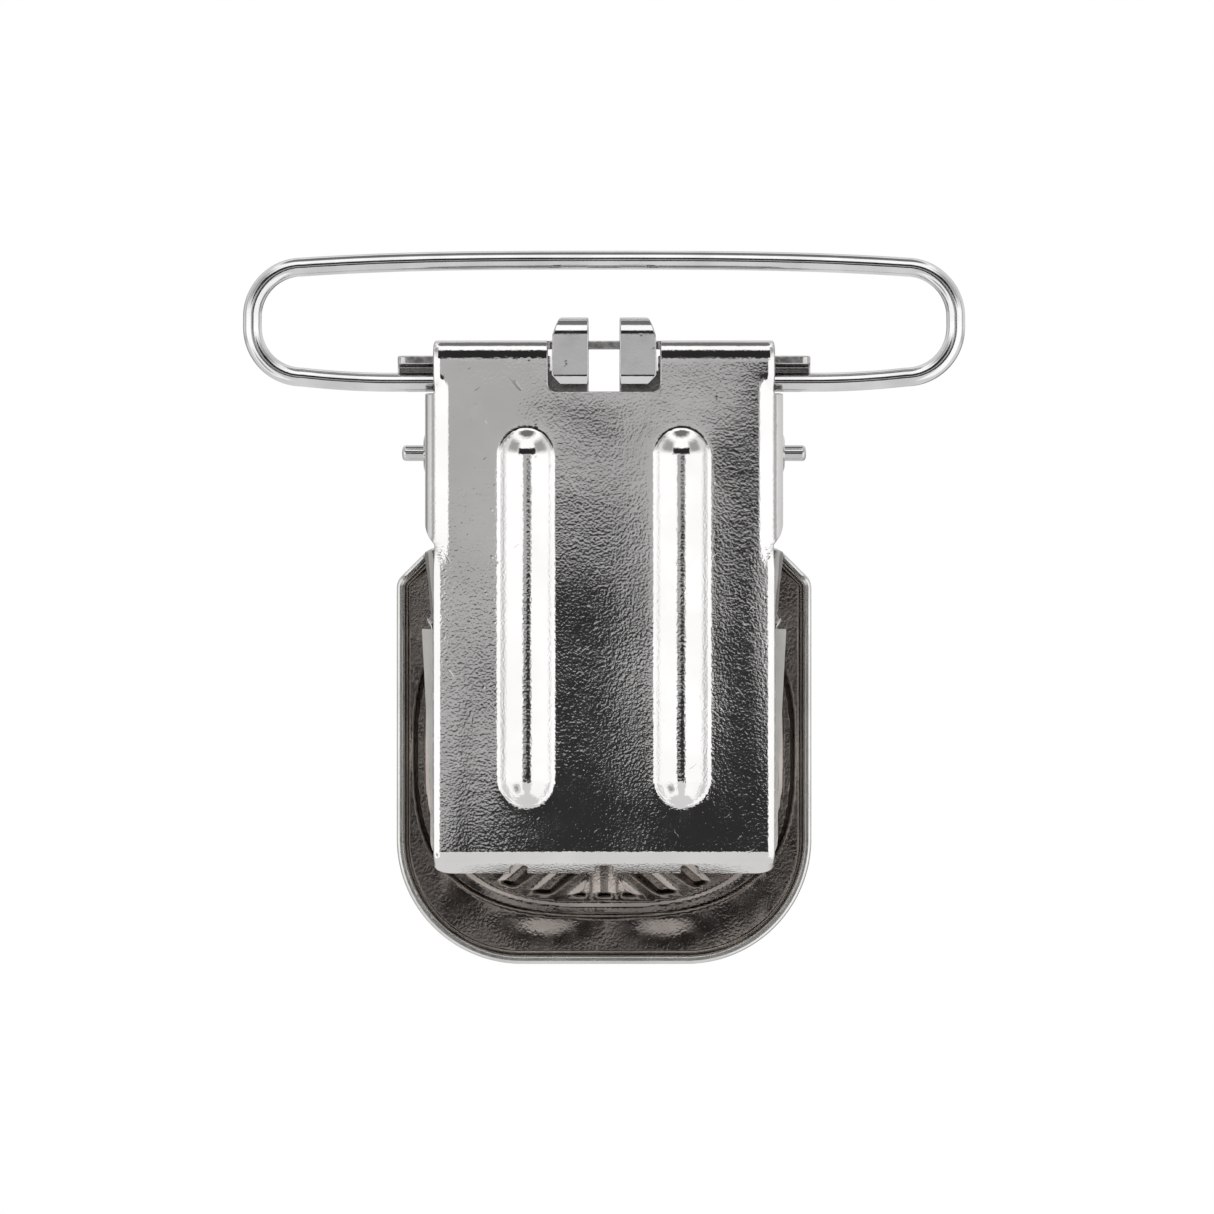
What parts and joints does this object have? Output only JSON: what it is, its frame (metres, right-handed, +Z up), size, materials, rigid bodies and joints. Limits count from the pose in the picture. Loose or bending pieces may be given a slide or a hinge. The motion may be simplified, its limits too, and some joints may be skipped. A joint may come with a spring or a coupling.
{
  "type": "suspender clip",
  "caption": "Plated steel clip that clamps a waistband between a back plate and a lined jaw by a lever, and hangs from a wire loop for webbing.",
  "frame": {"origin": "middle of the strap loop's upper bar, where the webbing holds the clip", "axes": "+X to the right seen from behind, +Y out of the decorated front, +Z up along the strap"},
  "size_m": [0.042, 0.0083, 0.0415],
  "materials": {
    "bright_wire": "smooth bright nickel plating on drawn steel wire",
    "plated_steel": "bright nickel plating on pressed sheet, with a faint orange-peel texture and small scratches",
    "pin_steel": "plated steel wire, dull at its cut ends",
    "jaw_steel": "bright nickel plating on pressed sheet, dull at its sheared edges",
    "liner_plastic": "off-white moulded plastic",
    "cover_steel": "dark bright plating on pressed and embossed sheet"
  },
  "bodies": {
    "loop": {"strap_loop": "bright_wire"},
    "back": {"back_plate": "plated_steel", "pivot_pin": "pin_steel"},
    "jaw": {"inner_jaw": "jaw_steel", "jaw_liner": "liner_plastic"},
    "lever": {"front_lever": "cover_steel"}
  },
  "joints": [
    {"name": "clip_swing", "type": "hinge", "parent": "loop", "child": "back", "pos_m": [0, 0, -0.0071], "axis": [1, 0, 0], "range_deg": [-130, 75]},
    {"name": "jaw_open", "type": "hinge", "parent": "back", "child": "jaw", "pos_m": [0, -0.0001, -0.00495], "axis": [1, 0, 0], "range_deg": [0, 9]},
    {"name": "lever_lift", "type": "hinge", "parent": "back", "child": "lever", "pos_m": [0, 0.0034, -0.01119], "axis": [1, 0, 0], "range_deg": [0, 100]}
  ],
  "couplings": [
    {"joint": "jaw_open", "follows": "lever_lift", "ratio": 0.09}
  ]
}
